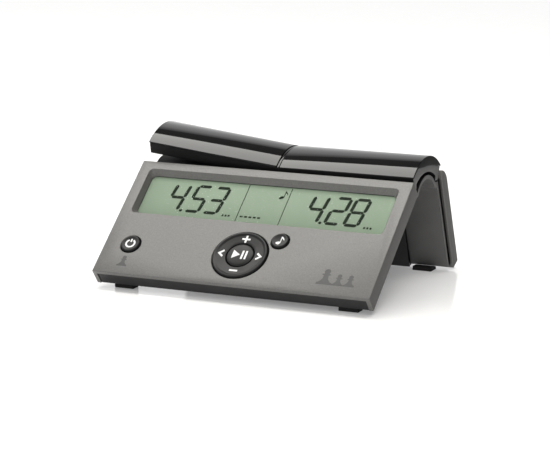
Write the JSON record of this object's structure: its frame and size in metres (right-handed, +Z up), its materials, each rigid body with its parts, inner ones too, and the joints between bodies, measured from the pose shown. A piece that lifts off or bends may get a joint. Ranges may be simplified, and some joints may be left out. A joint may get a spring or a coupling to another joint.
{
  "type": "chess clock",
  "caption": "Tent-shaped digital chess clock: sloping display panel with round keys, and a see-saw rocker lever along its ridge.",
  "frame": {"origin": "On the table, under the middle of the bounding box, with the right side of the rocker pressed.", "axes": "+X along the width, from the left player to the right player; +Y from the display side to the rear side; +Z up"},
  "size_m": [0.15, 0.1222, 0.0737],
  "materials": {
    "cover_silver": "satin metallic silver-grey moulding",
    "base_black": "matte black moulding",
    "rocker_gloss": "polished black moulding",
    "frame_grey": "matte dark grey moulding",
    "seam_trim": "polished black strip",
    "window_clear": "clear window",
    "lcd_green": "grey-green display glass",
    "board_green": "glass-fibre board with green mask",
    "copper_flex": "amber flexible circuit",
    "silicone_grey": "soft grey silicone",
    "key_black": "satin black moulding",
    "steel": "plated steel",
    "brass_disc": "plain brass",
    "switch_body": "moulded",
    "plunger_white": "moulded",
    "cell_jacket": "plain printed jacket",
    "rubber": "matte rubber"
  },
  "bodies": {
    "body": {"front_cover": "cover_silver", "front_base": "base_black", "display_window": "window_clear", "lcd_glass": "lcd_green", "lcd_backing": "silicone_grey", "lcd_flex": "copper_flex", "main_board": "board_green", "piezo_buzzer": "brass_disc", "keypad_mat": "silicone_grey", "ridge_housing": "base_black", "switch_board": "board_green", "left_switch": "switch_body", "right_switch": "switch_body", "rocker_axle": "steel", "rear_cover": "cover_silver", "rear_base": "base_black", "battery_left": "cell_jacket", "battery_right": "cell_jacket", "contact_left": "steel", "contact_middle": "steel", "contact_right": "steel", "foot_front_left": "rubber", "foot_front_right": "rubber", "foot_rear_left": "rubber", "foot_rear_right": "rubber", "front_screw_1": "steel", "front_screw_2": "steel", "front_screw_3": "steel", "front_screw_4": "steel", "rear_screw_1": "steel", "rear_screw_2": "steel", "switch_cover": "base_black", "switch_screw_left": "steel", "switch_screw_right": "steel"},
    "rocker": {"rocker_frame": "frame_grey", "rocker_cap_left": "rocker_gloss", "rocker_cap_right": "rocker_gloss", "rocker_seam_trim": "seam_trim"},
    "left_plunger": {"left_plunger": "plunger_white"},
    "right_plunger": {"right_plunger": "plunger_white"},
    "power_button": {"power_button": "key_black"},
    "sound_button": {"sound_button": "key_black"},
    "play_pause_button": {"play_pause_button": "key_black"},
    "nav_cushion": {"nav_cushion": "silicone_grey"},
    "nav_ring": {"nav_ring": "key_black"},
    "battery_door": {"battery_door": "base_black"}
  },
  "joints": [
    {"name": "rocker_hinge", "type": "hinge", "parent": "body", "child": "rocker", "pos_m": [0, 0.0174, 0.05], "axis": [0, -1, 0], "range_deg": [0, 6.3]},
    {"name": "right_plunger_slide", "type": "slide", "parent": "body", "child": "right_plunger", "axis": [0, 0, 1], "range_m": [0, 0.00156]},
    {"name": "left_plunger_slide", "type": "slide", "parent": "body", "child": "left_plunger", "axis": [0, 0, -1], "range_m": [0, 0.00156]},
    {"name": "power_press", "type": "slide", "parent": "body", "child": "power_button", "axis": [0, 0.6293, -0.7771], "range_m": [0, 0.0007], "stiffness_N_per_m": 1500},
    {"name": "sound_press", "type": "slide", "parent": "body", "child": "sound_button", "axis": [0, 0.6293, -0.7771], "range_m": [0, 0.0007], "stiffness_N_per_m": 1500},
    {"name": "play_pause_press", "type": "slide", "parent": "body", "child": "play_pause_button", "axis": [0, 0.6293, -0.7771], "range_m": [0, 0.0005], "stiffness_N_per_m": 2000},
    {"name": "nav_tilt_up_down", "type": "hinge", "parent": "body", "child": "nav_cushion", "pos_m": [0.00025, -0.04399, 0.01777], "axis": [1, 0, 0], "range_deg": [-1.5, 1.5], "stiffness_Nm_per_rad": 0.2},
    {"name": "nav_tilt_left_right", "type": "hinge", "parent": "nav_cushion", "child": "nav_ring", "pos_m": [0.00025, -0.04446, 0.01835], "axis": [0, 0.7771, 0.6293], "range_deg": [-1.5, 1.5], "stiffness_Nm_per_rad": 0.2},
    {"name": "battery_door_swing", "type": "hinge", "parent": "body", "child": "battery_door", "pos_m": [0, 0.04985, 0.00104], "axis": [1, 0, 0], "range_deg": [0, 45]}
  ],
  "couplings": [
    {"joint": "right_plunger_slide", "follows": "rocker_hinge", "m_per_rad": 0.01404},
    {"joint": "left_plunger_slide", "follows": "rocker_hinge", "m_per_rad": 0.01404}
  ]
}
